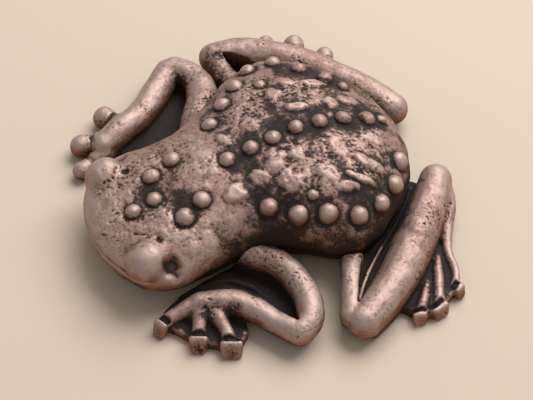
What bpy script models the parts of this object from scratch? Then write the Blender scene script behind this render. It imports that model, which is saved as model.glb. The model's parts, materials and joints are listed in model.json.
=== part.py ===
"""A toad brooch: a hollow cast toad with four soldered limbs, a hinged pin and a roll-over catch.

Frame: the origin is on the rest plane, in the middle of the toad's outline. +Z is up, the head points to
-Y and the toad's left side is +X. All sizes are in metres, written as millimetres times MM. The places below
are drawn about the middle of the neck, and main() then moves everything by TO_ORIGIN.
"""

import math

import bmesh
import bpy
from mathutils import Matrix, Vector

MM = 0.001
TO_ORIGIN = Vector((0.55, -0.6, 0)) * MM

# Body shell
WALL = 1.2 * MM
RIM_Z = 1.6 * MM  # the open edge of the shell, above the rest plane
SOLDER_GAP = 0.04 * MM  # left between pieces that are soldered together
# Stations along the body: y, half width, crest height, height of the widest line, height where the section
# would close underneath, sideways sway of the middle.
STATIONS = [
    (-19.5, 0.0, 4.3, 4.3, 4.3, 0.0),
    (-19.1, 2.9, 5.3, 4.2, 2.9, 0.0),
    (-18.0, 5.9, 6.2, 4.1, 2.1, 0.0),
    (-16.0, 8.4, 6.9, 4.0, 1.4, 0.0),
    (-12.8, 9.3, 7.7, 3.9, 0.6, -0.1),
    (-9.2, 8.9, 8.5, 3.9, -0.5, -0.3),
    (-6.0, 8.7, 9.2, 3.9, -1.5, -0.8),
    (-3.0, 9.4, 9.7, 4.0, -2.0, -1.7),
    (1.0, 11.7, 10.3, 4.0, -2.0, -2.2),
    (5.5, 13.8, 10.6, 4.0, -2.0, -1.7),
    (9.5, 12.7, 10.1, 4.0, -2.0, -1.6),
    (13.0, 9.8, 8.8, 4.0, -1.5, -1.5),
    (15.6, 6.3, 7.0, 4.1, 0.0, -1.1),
    (16.8, 3.2, 5.6, 4.2, 1.5, -0.9),
    (17.2, 0.0, 4.4, 4.4, 4.4, -0.9),
]
RING_SIDES = 32
RING_COUNT = 30
SQUARENESS = 2.25  # exponent of each cross-section, where 2 is an ellipse
LEAST_REACH = 0.1 * MM  # keeps a shrunk section from turning inside out near the ends
EDGE_SHARE = 0.98  # the share of the half width past which a wart is still set on the rounded edge

# Eyes, warts and pads
EYE = (6.3 * MM, -15.3 * MM, 5.4 * MM)
EYE_R = 2.35 * MM
WART_R = 1.1 * MM
WART_LIFT = 0.15 * MM  # how far a wart's middle stands over the skin
LONE_WARTS = [(-3.5, -8.6), (-2.6, -11.3), (0.3, -12.1), (0.6, -14.6), (3.9, -10.0), (2.9, -7.7)]
# Each row runs along a path of (x, y) points, with its warts evenly spaced.
SPINE_ROW = [(-0.4, -3.4), (-1.0, 4.7), (-0.6, 12.8)]
LEFT_ROW = [(6.0, -1.4), (8.1, 1.5), (10.4, 6.6), (9.9, 9.4), (7.3, 12.6), (4.7, 14.3)]
RIGHT_ROW = [(-6.0, -3.2), (-12.5, 4.0), (-12.4, 6.8), (-7.5, 10.9)]
ROWS = [(SPINE_ROW, 7), (LEFT_ROW, 7), (RIGHT_ROW, 7)]
# Pads: low flat bumps between the rows, as (x, y, radius).
PADS = [(3.8, -4.2, 1.3), (3.3, -1.2, 1.1), (2.1, 1.0, 1.2), (5.0, 1.5, 1.4), (5.8, 5.7, 1.3),
        (7.5, 7.2, 1.1), (5.5, 10.6, 1.3), (2.5, 12.4, 1.2), (-3.8, 5.9, 1.1), (-6.5, 4.3, 1.2),
        (-8.8, 3.8, 0.9), (-6.8, 9.5, 1.3), (-3.5, 11.8, 1.2)]
PAD_FLATNESS = 0.4

# Limbs: bars and digits as points (x, y, z, radius), and webs, the thin floor of metal between them, as flat
# outlines (x, y). The two sides are modelled apart, as they are posed differently.
LEFT_ARM = {
    "bars": [
        [(6.0, -5.4, 2.7, 1.6), (7.9, -3.7, 2.9, 1.55), (9.8, -1.9, 2.9, 1.5), (12.9, -0.9, 2.8, 1.5),
         (15.9, -0.8, 2.7, 1.55), (18.0, -1.8, 2.5, 1.6), (18.7, -2.8, 2.3, 1.6)],
        [(18.7, -2.9, 2.2, 1.65), (16.2, -5.1, 2.3, 1.6), (13.8, -6.9, 2.4, 1.6), (11.9, -9.2, 2.4, 1.5),
         (11.1, -11.4, 2.2, 1.3)],
    ],
    "digits": [
        [(11.0, -12.0, 2.0, 1.0), (11.3, -14.1, 1.8, 0.8), (11.6, -16.0, 1.3, 1.0)],
        [(11.4, -11.4, 2.0, 1.0), (13.8, -12.8, 1.7, 0.85), (15.6, -13.7, 1.1, 1.15)],
        [(12.4, -10.4, 2.0, 1.0), (15.0, -10.6, 1.7, 0.85), (17.3, -10.2, 1.1, 1.2)],
    ],
    "webs": [
        [(7.0, -6.0), (9.4, -2.6), (16.6, -1.4), (18.4, -3.0), (13.0, -7.4), (11.0, -11.4), (9.0, -11.5)],
        [(10.8, -11.0), (11.2, -14.4), (13.6, -13.2), (15.2, -10.6), (12.4, -9.4)],
    ],
}
RIGHT_ARM = {
    "bars": [
        [(-7.6, -5.0, 2.8, 2.2), (-12.0, -2.2, 2.8, 2.2), (-15.6, -0.4, 2.8, 1.9), (-19.0, -0.4, 2.6, 1.6),
         (-20.9, -1.8, 2.4, 1.65)],
        [(-20.9, -2.6, 2.3, 1.65), (-18.6, -4.9, 2.4, 1.65), (-16.1, -7.8, 2.4, 1.6), (-14.6, -10.8, 2.4, 1.65),
         (-13.6, -13.0, 2.1, 1.5)],
    ],
    "digits": [
        [(-15.6, -9.8, 2.0, 1.3), (-17.0, -10.8, 1.7, 1.1), (-18.2, -11.5, 1.3, 1.2)],
        [(-14.2, -12.6, 2.0, 1.3), (-14.8, -14.0, 1.7, 1.1), (-15.1, -15.3, 1.2, 1.15)],
        [(-12.8, -13.2, 1.8, 1.1), (-12.3, -15.0, 1.5, 0.9), (-11.9, -16.4, 1.1, 1.0)],
    ],
    "webs": [
        [(-8.4, -6.4), (-10.4, -2.6), (-16.0, -0.8), (-19.8, -1.8), (-15.6, -7.4), (-13.6, -11.6), (-10.4, -11.4)],
        [(-16.4, -9.6), (-17.2, -11.0), (-15.2, -14.2), (-12.4, -15.2), (-12.6, -11.6)],
    ],
}
LEFT_LEG = {
    "bars": [
        [(9.4, 6.3, 2.4, 1.6), (12.8, 5.1, 2.5, 1.5), (16.0, 3.9, 2.5, 1.45), (19.0, 3.0, 2.3, 1.6)],
        [(19.9, 3.7, 2.2, 1.9), (18.2, 7.1, 2.4, 1.95), (15.2, 10.8, 2.6, 2.0), (11.7, 14.2, 2.6, 1.95),
         (8.0, 17.1, 2.5, 1.9), (5.4, 18.9, 2.3, 1.8)],
        [(6.2, 19.2, 2.0, 1.4), (8.6, 19.3, 1.8, 1.1), (11.4, 18.1, 1.6, 0.9)],
    ],
    "digits": [
        [(10.4, 18.5, 1.5, 0.8), (14.6, 16.4, 1.3, 0.62), (17.0, 15.3, 1.2, 0.55), (18.8, 14.6, 1.0, 0.85)],
        [(13.2, 15.6, 1.3, 0.5), (17.1, 13.6, 1.3, 0.5), (19.9, 12.5, 1.0, 0.8)],
        [(16.0, 12.6, 1.3, 0.5), (18.8, 10.8, 1.2, 0.5), (20.4, 9.7, 1.0, 0.75)],
    ],
    "webs": [
        [(7.9, 6.0), (18.8, 3.2), (14.2, 10.8), (5.2, 18.0), (3.4, 16.6)],
        [(9.6, 18.4), (14.4, 11.6), (19.2, 8.4), (20.2, 10.4), (19.0, 13.6), (16.8, 15.6)],
    ],
}
RIGHT_LEG = {
    "bars": [
        [(-10.7, 6.0, 2.4, 1.6), (-14.2, 4.9, 2.5, 1.5), (-17.6, 3.7, 2.5, 1.5), (-20.4, 3.2, 2.3, 1.5)],
        [(-21.1, 3.2, 2.2, 1.8), (-20.6, 5.6, 2.4, 1.9), (-19.0, 8.4, 2.5, 2.0), (-16.2, 11.6, 2.6, 2.0),
         (-12.6, 14.5, 2.6, 2.0), (-8.8, 17.2, 2.5, 1.95), (-6.0, 18.8, 2.3, 1.8)],
    ],
    "digits": [
        [(-19.6, 9.6, 1.5, 1.0), (-20.6, 9.9, 1.3, 0.9), (-21.4, 10.1, 1.1, 1.0)],
        [(-17.6, 12.0, 1.6, 1.2), (-19.2, 12.6, 1.5, 1.1), (-20.3, 12.8, 1.2, 1.3)],
        [(-15.0, 14.4, 1.5, 1.0), (-16.6, 15.2, 1.3, 0.9), (-17.6, 15.5, 1.1, 1.05)],
    ],
    "webs": [
        [(-9.7, 6.0), (-20.4, 3.4), (-15.6, 10.8), (-6.9, 18.4), (-4.9, 17.0)],
        [(-18.0, 10.0), (-20.4, 10.2), (-19.6, 12.6), (-16.8, 15.0), (-13.0, 15.0)],
    ],
}
FOOT_Z = 1.1  # a limb's bars are repeated at this height, so that their sides stand on the rest plane
WEB_TOP = 1.3 * MM
WEB_THICKNESS = 1.7 * MM  # reaches below the rest plane, where it's cut flat
LIMB_VOXEL = 0.32 * MM
LIMB_TRIANGLES = 1300

# Back plate and the findings on it
PLATE_Z = 4.4 * MM
PLATE_THICKNESS = 0.8 * MM
VENT_R = 0.7 * MM
VENT_AT = (-1.0 * MM, 9.0 * MM)
PIN_Y = 1.2 * MM
PIN_Z = 2.0 * MM
HINGE_X = -10.0 * MM
CATCH_X = 4.2 * MM
PIN_TIP_X = 7.4 * MM
PIN_R = 0.45 * MM
POINT_LENGTH = 3.2 * MM
POINT_R = 0.08 * MM
PATCH_R = 1.9 * MM
PATCH_THICKNESS = 0.5 * MM
RUNNING_GAP = 0.05 * MM
KNUCKLE_R = 0.85 * MM
KNUCKLE_WIDTH = 1.5 * MM
EAR_R = 1.0 * MM
EAR_THICKNESS = 0.6 * MM
RIVET_R = 0.38 * MM
RIVET_HEAD_R = 0.7 * MM
RIVET_HEAD_THICKNESS = 0.35 * MM
RIVET_HEAD_EDGE = 0.1 * MM  # the straight part of the head's side
RIVET_DOME = 0.75  # the head's flat top, as a share of its radius
SLEEVE_R = 1.2 * MM
SLEEVE_BORE_R = 0.66 * MM
SLEEVE_LENGTH = 3.0 * MM
HOUSING_R = 1.7 * MM
HOUSING_LENGTH = 3.2 * MM
FOOT_HALF_WIDTH = 1.35 * MM  # of the block between the housing's barrel and its patch
MOUTH_WIDTH = 1.4 * MM
WINDOW_RISE = 0.85 * MM  # how far the lever's window reaches above the pin's axis
LEVER_REACH = 2.7 * MM
LEVER_WIDTH = 1.0 * MM
LEVER_THICKNESS = 0.55 * MM
LEVER_TIP_R = 0.44 * MM
LEVER_DEG = 95  # from straight down, towards +Y, with the catch open
LARGE = 60 * MM  # the side of a cutter that runs past everything

SILVER = ("oxidised_silver", (0.42, 0.36, 0.34), 0.42)
FINDING = ("bright_finding", (0.62, 0.60, 0.57), 0.30)


def clear_scene():
    for obj in list(bpy.data.objects):
        bpy.data.objects.remove(obj, do_unlink=True)


def make_collection(name):
    collection = bpy.data.collections.new(name)
    bpy.context.scene.collection.children.link(collection)
    return collection


def make_material(name, colour, roughness):
    material = bpy.data.materials.new(name)
    material.use_nodes = True
    shader = material.node_tree.nodes["Principled BSDF"]
    shader.inputs["Base Color"].default_value = (*colour, 1)
    shader.inputs["Metallic"].default_value = 1.0
    shader.inputs["Roughness"].default_value = roughness
    return material


def add_mesh(name, mesh, collection, location=(0, 0, 0)):
    obj = bpy.data.objects.new(name, mesh)
    obj.location = location
    collection.objects.link(obj)
    return obj


def mesh_of(name, bm):
    bmesh.ops.recalc_face_normals(bm, faces=bm.faces)
    mesh = bpy.data.meshes.new(name)
    bm.to_mesh(mesh)
    bm.free()
    return mesh


def shade(obj, material, sharp_deg=35):
    obj.data.materials.clear()
    obj.data.materials.append(material)
    obj.data.shade_smooth()
    obj.data.set_sharp_from_angle(angle=math.radians(sharp_deg))


def cutter(obj):
    obj.hide_render = True
    obj.display_type = "WIRE"
    return obj


def box(name, low, high, collection):
    low, high = Vector(low), Vector(high)
    bm = bmesh.new()
    bmesh.ops.create_cube(bm, size=1)
    bmesh.ops.scale(bm, vec=high - low, verts=bm.verts)
    return add_mesh(name, mesh_of(name, bm), collection, (low + high) / 2)


def cylinder(name, centre, axis, radius, length, collection, segments=32, tip_radius=None):
    bm = bmesh.new()
    bmesh.ops.create_cone(
        bm, cap_ends=True, segments=segments, radius1=radius,
        radius2=radius if tip_radius is None else tip_radius, depth=length,
    )
    turn = Vector((0, 0, 1)).rotation_difference(Vector(axis)).to_matrix().to_4x4()
    bmesh.ops.transform(bm, matrix=turn, verts=bm.verts)
    return add_mesh(name, mesh_of(name, bm), collection, centre)


def ball(name, centre, radii, collection, segments=10, rings=6):
    bm = bmesh.new()
    bmesh.ops.create_uvsphere(bm, u_segments=segments, v_segments=rings, radius=1)
    bmesh.ops.scale(bm, vec=Vector(radii), verts=bm.verts)
    return add_mesh(name, mesh_of(name, bm), collection, centre)


def boolean(obj, operation, other):
    modifier = obj.modifiers.new(operation.lower(), "BOOLEAN")
    modifier.operation = operation
    modifier.solver = "EXACT"
    if isinstance(other, bpy.types.Collection):
        modifier.operand_type = "COLLECTION"
        modifier.collection = other
    else:
        modifier.object = other
    return modifier


# ---------------------------------------------------------------- body form


def smooth_between(before, start, end, after, share):
    """A Catmull-Rom curve through start and end."""
    square, cube = share * share, share * share * share
    return 0.5 * (
        2 * start
        + (end - before) * share
        + (2 * before - 5 * start + 4 * end - after) * square
        + (3 * start - before - 3 * end + after) * cube
    )


def station_at(y):
    """(half width, crest, widest height, closing height, sway) of the body at y, in metres."""
    rows = [[value * MM for value in row] for row in STATIONS]
    y = min(max(y, rows[0][0]), rows[-1][0])
    i = max(k for k in range(len(rows) - 1) if rows[k][0] <= y)
    share = (y - rows[i][0]) / (rows[i + 1][0] - rows[i][0])
    before, after = rows[max(i - 1, 0)], rows[min(i + 2, len(rows) - 1)]
    return [smooth_between(before[k], rows[i][k], rows[i + 1][k], after[k], share) for k in range(1, 6)]


def section_point(y, angle, grow):
    """A point of the cross-section at y. The section hangs below the rim, where it's cut off."""
    half_width, crest, widest, closing, sway = station_at(y)
    cosine, sine = math.cos(angle), math.sin(angle)
    across = math.copysign(abs(cosine) ** (2 / SQUARENESS), cosine)
    up = math.copysign(abs(sine) ** (2 / SQUARENESS), sine)
    rise = max((crest - widest if sine > 0 else widest - closing) + grow, LEAST_REACH)
    return Vector((sway + max(half_width + grow, LEAST_REACH) * across, y, widest + rise * up))


def body_form(name, grow, collection, sides=RING_SIDES, rings=RING_COUNT):
    """A closed loft through the stations, grown outwards by grow, or shrunk where it is negative."""
    front, back = STATIONS[0][0] * MM - grow, STATIONS[-1][0] * MM + grow
    bm = bmesh.new()
    loops = []
    for i in range(1, rings):
        # Cosine spacing puts more rings where the ends curve in.
        y = front + (back - front) * (1 - math.cos(math.pi * i / rings)) / 2
        source_y = y + grow * (1 - 2 * i / rings)
        moved = Vector((0, y - source_y, 0))
        angles = [2 * math.pi * k / sides for k in range(sides)]
        loops.append([bm.verts.new(moved + section_point(source_y, angle, grow)) for angle in angles])
    for first, second in zip(loops, loops[1:]):
        for k in range(sides):
            bm.faces.new((first[k], first[(k + 1) % sides], second[(k + 1) % sides], second[k]))
    for loop, y, station in ((loops[0], front, STATIONS[0]), (loops[-1], back, STATIONS[-1])):
        pole = bm.verts.new((station[5] * MM, y, station[2] * MM))
        for k in range(sides):
            bm.faces.new((loop[k], loop[(k + 1) % sides], pole))
    return add_mesh(name, mesh_of(name, bm), collection)


def surface_z(x, y):
    """Height of the body's upper surface over (x, y)."""
    half_width, crest, widest, _, sway = station_at(y)
    share = min(abs(x - sway) / half_width, EDGE_SHARE)
    return widest + (crest - widest) * (1 - share**SQUARENESS) ** (1 / SQUARENESS)


def spaced_along(path, count):
    """count points, evenly spaced along a path of (x, y) points."""
    lengths = [math.dist(a, b) for a, b in zip(path, path[1:])]
    places = []
    for i in range(count):
        left = sum(lengths) * i / (count - 1)
        k = 0
        while k < len(lengths) - 1 and left > lengths[k]:
            left -= lengths[k]
            k += 1
        share = left / lengths[k]
        places.append(tuple(a + (b - a) * share for a, b in zip(path[k], path[k + 1])))
    return places


def wart_places():
    places = list(LONE_WARTS)
    for path, count in ROWS:
        places += spaced_along(path, count)
    return [(x * MM, y * MM) for x, y in places]


def make_body_shell(parts, cutters, relief):
    shell = body_form("body_shell", 0, parts)
    ball("eye_left", EYE, (EYE_R,) * 3, relief, 16, 10)
    ball("eye_right", (-EYE[0], EYE[1], EYE[2]), (EYE_R,) * 3, relief, 16, 10)
    for i, (x, y) in enumerate(wart_places()):
        ball(f"wart_{i:02d}", (x, y, surface_z(x, y) + WART_LIFT), (WART_R,) * 3, relief)
    for i, (x, y, radius) in enumerate(PADS):
        place = (x * MM, y * MM, surface_z(x * MM, y * MM))
        ball(f"pad_{i:02d}", place, (radius * MM, radius * MM, radius * PAD_FLATNESS * MM), relief, 9, 6)
    for obj in relief.objects:
        cutter(obj)
    boolean(shell, "UNION", relief)
    hollow = cutter(body_form("hollow", -WALL, cutters, 20, 18))
    boolean(shell, "DIFFERENCE", hollow)
    below = box("below_rim", (-LARGE, -LARGE, -LARGE), (LARGE, LARGE, RIM_Z), cutters)
    boolean(shell, "DIFFERENCE", cutter(below))
    return shell


# ---------------------------------------------------------------- limbs


def bar(name, points, collection, height=None):
    """A round bar through points, as thick as each point's radius, or the same bar laid flat at a height."""
    curve = bpy.data.curves.new(name, "CURVE")
    curve.dimensions = "3D"
    curve.bevel_depth = MM
    curve.bevel_resolution = 3
    curve.resolution_u = 6
    curve.use_fill_caps = True
    spline = curve.splines.new("BEZIER")
    spline.bezier_points.add(len(points) - 1)
    for knot, (x, y, z, radius) in zip(spline.bezier_points, points):
        knot.co = (x * MM, y * MM, (z if height is None else height) * MM)
        knot.radius = radius
        knot.handle_left_type = knot.handle_right_type = "AUTO"
    return add_mesh(name, curve, collection)


def web(name, outline, collection):
    curve = bpy.data.curves.new(name, "CURVE")
    curve.dimensions = "2D"
    curve.fill_mode = "BOTH"
    curve.extrude = WEB_THICKNESS / 2
    spline = curve.splines.new("POLY")
    spline.points.add(len(outline) - 1)
    for point, (x, y) in zip(spline.points, outline):
        point.co = (x * MM, y * MM, 0, 1)
    spline.use_cyclic_u = True
    return add_mesh(name, curve, collection, (0, 0, WEB_TOP - WEB_THICKNESS / 2))


def joined_bars(name, objects, ends, collection):
    """One mesh that holds every bar and web, closed at the bars' ends by balls."""
    bm = bmesh.new()
    graph = bpy.context.evaluated_depsgraph_get()
    for obj in objects:
        mesh = bpy.data.meshes.new_from_object(obj.evaluated_get(graph))
        mesh.transform(obj.matrix_world)
        bm.from_mesh(mesh)
        bpy.data.objects.remove(obj)
    bmesh.ops.remove_doubles(bm, verts=bm.verts, dist=0.001 * MM)
    for x, y, z, radius in ends:
        place = Matrix.Translation(Vector((x, y, z)) * MM)
        bmesh.ops.create_uvsphere(bm, u_segments=16, v_segments=10, radius=radius * MM, matrix=place)
    return add_mesh(name, mesh_of(name, bm), collection)


def thin_out(obj, triangles):
    """Applies the object's modifiers, then collapses it to about this many triangles."""
    graph = bpy.context.evaluated_depsgraph_get()
    mesh = bpy.data.meshes.new_from_object(obj.evaluated_get(graph))
    obj.modifiers.clear()
    obj.data = mesh
    count = sum(len(polygon.vertices) - 2 for polygon in mesh.polygons)
    decimate = obj.modifiers.new("thin_out", "DECIMATE")
    decimate.ratio = min(1, triangles / count)


def make_limb(name, design, parts, cutters):
    """A limb's bars, digits and webs as one skin, before it is cut to fit the body."""
    lines = design["bars"] + design["digits"]
    drawn = [bar(f"{name}_bar_{i}", points, cutters) for i, points in enumerate(lines)]
    drawn += [bar(f"{name}_foot_{i}", points, cutters, FOOT_Z) for i, points in enumerate(design["bars"])]
    drawn += [web(f"{name}_web_{i}", outline, cutters) for i, outline in enumerate(design["webs"])]
    bpy.context.view_layer.update()
    ends = [points[k] for points in lines for k in (0, -1)]
    limb = joined_bars(name, drawn, ends, parts)
    remesh = limb.modifiers.new("one_skin", "REMESH")
    remesh.mode = "VOXEL"
    remesh.voxel_size = LIMB_VOXEL
    soften = limb.modifiers.new("soften", "SMOOTH")
    soften.factor = 0.5
    soften.iterations = 4
    return limb


def make_limbs(parts, cutters):
    clearance = cutter(body_form("body_clearance", SOLDER_GAP, cutters))
    ground = cutter(box("ground", (-LARGE, -LARGE, -LARGE), (LARGE, LARGE, 0), cutters))
    designs = {
        "front_leg_left": LEFT_ARM,
        "front_leg_right": RIGHT_ARM,
        "rear_leg_left": LEFT_LEG,
        "rear_leg_right": RIGHT_LEG,
    }
    limbs = [make_limb(name, design, parts, cutters) for name, design in designs.items()]
    bpy.context.view_layer.update()
    for limb in limbs:
        thin_out(limb, LIMB_TRIANGLES)
        boolean(limb, "DIFFERENCE", clearance)
        boolean(limb, "DIFFERENCE", ground)
    return limbs


# ---------------------------------------------------------------- back plate and findings


def make_back_plate(parts, cutters):
    plate = body_form("back_plate", -WALL - SOLDER_GAP, parts, 20, 18)
    top = PLATE_Z + PLATE_THICKNESS
    slab = box("plate_slab", (-LARGE, -LARGE, PLATE_Z), (LARGE, LARGE, top), cutters)
    boolean(plate, "INTERSECT", cutter(slab))
    vent = cylinder("vent", (*VENT_AT, PLATE_Z), (0, 0, 1), VENT_R, LARGE, cutters, 24)
    boolean(plate, "DIFFERENCE", cutter(vent))
    return plate


def patch(name, x, collection):
    """The round foot by which a finding is soldered to the back plate."""
    centre = (x, PIN_Y, PLATE_Z - SOLDER_GAP - PATCH_THICKNESS / 2)
    return cylinder(name, centre, (0, 0, 1), PATCH_R, PATCH_THICKNESS, collection, 40)


def make_hinge_bracket(parts, cutters):
    bracket = patch("hinge_bracket", HINGE_X, parts)
    foot_z = PLATE_Z - SOLDER_GAP - PATCH_THICKNESS / 2
    inner = KNUCKLE_WIDTH / 2 + RUNNING_GAP
    for side in (-1, 1):
        middle = PIN_Y + side * (inner + EAR_THICKNESS / 2)
        low = (HINGE_X - EAR_R, middle - EAR_THICKNESS / 2, PIN_Z)
        high = (HINGE_X + EAR_R, middle + EAR_THICKNESS / 2, foot_z)
        boolean(bracket, "UNION", cutter(box(f"ear_{side}", low, high, cutters)))
        tip = cylinder(f"ear_tip_{side}", (HINGE_X, middle, PIN_Z), (0, 1, 0), EAR_R, EAR_THICKNESS, cutters)
        boolean(bracket, "UNION", cutter(tip))
    hole = cylinder("rivet_hole", (HINGE_X, PIN_Y, PIN_Z), (0, 1, 0), RIVET_R + RUNNING_GAP, LARGE, cutters)
    boolean(bracket, "DIFFERENCE", cutter(hole))
    return bracket


def turned(name, profile, origin, axis, collection, steps=32):
    """A solid of revolution. profile is (distance along axis, radius), and starts and ends on the axis."""
    mesh = bpy.data.meshes.new(name)
    points = [(radius, 0, along) for along, radius in reversed(profile)]
    mesh.from_pydata(points, [(i, i + 1) for i in range(len(points) - 1)], [])
    obj = add_mesh(name, mesh, collection, origin)
    obj.rotation_mode = "QUATERNION"
    obj.rotation_quaternion = Vector((0, 0, 1)).rotation_difference(Vector(axis))
    screw = obj.modifiers.new("turn", "SCREW")
    screw.steps = screw.render_steps = steps
    screw.use_merge_vertices = True
    screw.merge_threshold = 0.001 * MM
    return obj


def make_rivet(parts):
    half = KNUCKLE_WIDTH / 2 + RUNNING_GAP + EAR_THICKNESS + SOLDER_GAP
    end = half + RIVET_HEAD_THICKNESS
    edge = RIVET_HEAD_R * RIVET_DOME
    profile = [
        (-end, 0), (-end, edge), (-half - RIVET_HEAD_EDGE, RIVET_HEAD_R), (-half, RIVET_HEAD_R),
        (-half, RIVET_R), (half, RIVET_R),
        (half, RIVET_HEAD_R), (half + RIVET_HEAD_EDGE, RIVET_HEAD_R), (end, edge), (end, 0),
    ]
    return turned("hinge_rivet", profile, (HINGE_X, PIN_Y, PIN_Z), (0, 1, 0), parts)


def make_pin_stem(parts, cutters):
    """The knuckle that turns on the rivet, with the sharp stem on it. Its origin is on the hinge axis."""
    length = PIN_TIP_X - HINGE_X
    start = KNUCKLE_R / 3
    profile = [(start, 0), (start, PIN_R), (length - POINT_LENGTH, PIN_R), (length, POINT_R), (length, 0)]
    stem = turned("pin_stem", profile, (HINGE_X, PIN_Y, PIN_Z), (1, 0, 0), parts, 16)
    centre = (HINGE_X, PIN_Y, PIN_Z)
    knuckle = cylinder("knuckle", centre, (0, 1, 0), KNUCKLE_R, KNUCKLE_WIDTH, cutters)
    boolean(stem, "UNION", cutter(knuckle))
    bore = cylinder("knuckle_bore", centre, (0, 1, 0), RIVET_R + RUNNING_GAP, LARGE, cutters)
    boolean(stem, "DIFFERENCE", cutter(bore))
    return stem


def make_catch_housing(parts, cutters):
    housing = patch("catch_housing", CATCH_X, parts)
    half = HOUSING_LENGTH / 2
    foot_z = PLATE_Z - SOLDER_GAP - PATCH_THICKNESS / 2
    axis_point = (CATCH_X, PIN_Y, PIN_Z)
    barrel = cylinder("housing_barrel", axis_point, (1, 0, 0), HOUSING_R, HOUSING_LENGTH, cutters, 40)
    boolean(housing, "UNION", cutter(barrel))
    foot_half = half - RUNNING_GAP
    low = (CATCH_X - foot_half, PIN_Y - FOOT_HALF_WIDTH, PIN_Z)
    high = (CATCH_X + foot_half, PIN_Y + FOOT_HALF_WIDTH, foot_z)
    boolean(housing, "UNION", cutter(box("housing_foot", low, high, cutters)))
    bore = cylinder("housing_bore", axis_point, (1, 0, 0), SLEEVE_R + RUNNING_GAP, LARGE, cutters, 40)
    boolean(housing, "DIFFERENCE", cutter(bore))
    low = (CATCH_X - LARGE, PIN_Y - MOUTH_WIDTH / 2, -LARGE)
    high = (CATCH_X + LARGE, PIN_Y + MOUTH_WIDTH / 2, PIN_Z)
    boolean(housing, "DIFFERENCE", cutter(box("housing_mouth", low, high, cutters)))
    window = LEVER_WIDTH / 2 + 3 * RUNNING_GAP
    low = (CATCH_X - window, PIN_Y - LARGE, -LARGE)
    high = (CATCH_X + window, PIN_Y + LARGE, PIN_Z + WINDOW_RISE)
    boolean(housing, "DIFFERENCE", cutter(box("lever_window", low, high, cutters)))
    return housing


def make_catch_sleeve(parts, cutters):
    """The C-shaped sleeve with its thumb lever. Its origin is on the axis that it turns about."""
    axis_point = Vector((CATCH_X, PIN_Y, PIN_Z))
    sleeve = cylinder("catch_sleeve", axis_point, (1, 0, 0), SLEEVE_R, SLEEVE_LENGTH, parts, 40)
    lever_turn = math.radians(LEVER_DEG)
    outwards = Vector((0, math.sin(lever_turn), -math.cos(lever_turn)))
    inner = (SLEEVE_R + SLEEVE_BORE_R) / 2
    lever = box(
        "lever_arm", (-LEVER_WIDTH / 2, -LEVER_THICKNESS / 2, inner),
        (LEVER_WIDTH / 2, LEVER_THICKNESS / 2, LEVER_REACH), cutters,
    )
    lever.data.transform(Matrix.Translation(lever.location))
    lever.location = axis_point
    lever.rotation_mode = "QUATERNION"
    lever.rotation_quaternion = Vector((0, 0, 1)).rotation_difference(outwards)
    boolean(sleeve, "UNION", cutter(lever))
    end = axis_point + outwards * LEVER_REACH
    tip = cylinder("lever_tip", end, (1, 0, 0), LEVER_TIP_R, LEVER_WIDTH, cutters, 16)
    boolean(sleeve, "UNION", cutter(tip))
    bore = cylinder("sleeve_bore", axis_point, (1, 0, 0), SLEEVE_BORE_R, LARGE, cutters, 32)
    boolean(sleeve, "DIFFERENCE", cutter(bore))
    low = (CATCH_X - LARGE, PIN_Y - SLEEVE_BORE_R, -LARGE)
    high = (CATCH_X + LARGE, PIN_Y + SLEEVE_BORE_R, PIN_Z)
    boolean(sleeve, "DIFFERENCE", cutter(box("sleeve_mouth", low, high, cutters)))
    return sleeve


def main():
    clear_scene()
    parts = make_collection("toad_brooch")
    cutters = make_collection("cutters")
    relief = make_collection("relief")
    silver = make_material(*SILVER)
    finding = make_material(*FINDING)
    shell = make_body_shell(parts, cutters, relief)
    cast = [shell, *make_limbs(parts, cutters), make_back_plate(parts, cutters)]
    findings = [
        make_hinge_bracket(parts, cutters),
        make_rivet(parts),
        make_pin_stem(parts, cutters),
        make_catch_housing(parts, cutters),
        make_catch_sleeve(parts, cutters),
    ]
    for obj in cast:
        shade(obj, silver, 60)
    for obj in findings:
        shade(obj, finding)
    origin = bpy.data.objects.new("toad_brooch_origin", None)
    origin.location = TO_ORIGIN
    parts.objects.link(origin)
    for obj in [*parts.objects, *cutters.objects, *relief.objects]:
        if obj != origin:
            obj.parent = origin


main()
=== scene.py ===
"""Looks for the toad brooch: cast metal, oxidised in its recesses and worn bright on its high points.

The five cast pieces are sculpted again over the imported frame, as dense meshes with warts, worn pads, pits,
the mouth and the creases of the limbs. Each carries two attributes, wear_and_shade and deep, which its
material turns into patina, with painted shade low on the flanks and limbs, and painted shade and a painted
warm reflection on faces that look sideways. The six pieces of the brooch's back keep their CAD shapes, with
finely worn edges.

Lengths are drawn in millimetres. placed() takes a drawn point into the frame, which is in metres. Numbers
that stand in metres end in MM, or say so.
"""

import json
import math

import bmesh
import bpy
import numpy as np
from mathutils import Matrix, Vector, noise


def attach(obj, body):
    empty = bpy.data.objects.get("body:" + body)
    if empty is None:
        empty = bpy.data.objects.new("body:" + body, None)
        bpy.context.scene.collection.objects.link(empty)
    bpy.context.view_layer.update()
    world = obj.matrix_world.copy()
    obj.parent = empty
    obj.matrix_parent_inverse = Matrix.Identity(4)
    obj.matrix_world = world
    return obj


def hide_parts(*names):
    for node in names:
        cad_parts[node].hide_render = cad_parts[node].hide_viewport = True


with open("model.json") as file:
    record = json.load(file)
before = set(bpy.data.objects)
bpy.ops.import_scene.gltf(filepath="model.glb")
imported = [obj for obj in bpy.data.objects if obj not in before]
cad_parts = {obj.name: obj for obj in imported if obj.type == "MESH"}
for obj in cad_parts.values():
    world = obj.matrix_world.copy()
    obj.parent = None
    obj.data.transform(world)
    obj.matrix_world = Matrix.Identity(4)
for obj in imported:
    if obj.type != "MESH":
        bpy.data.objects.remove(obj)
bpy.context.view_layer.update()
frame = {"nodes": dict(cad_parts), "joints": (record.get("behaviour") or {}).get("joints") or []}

MM = 0.001
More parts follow.
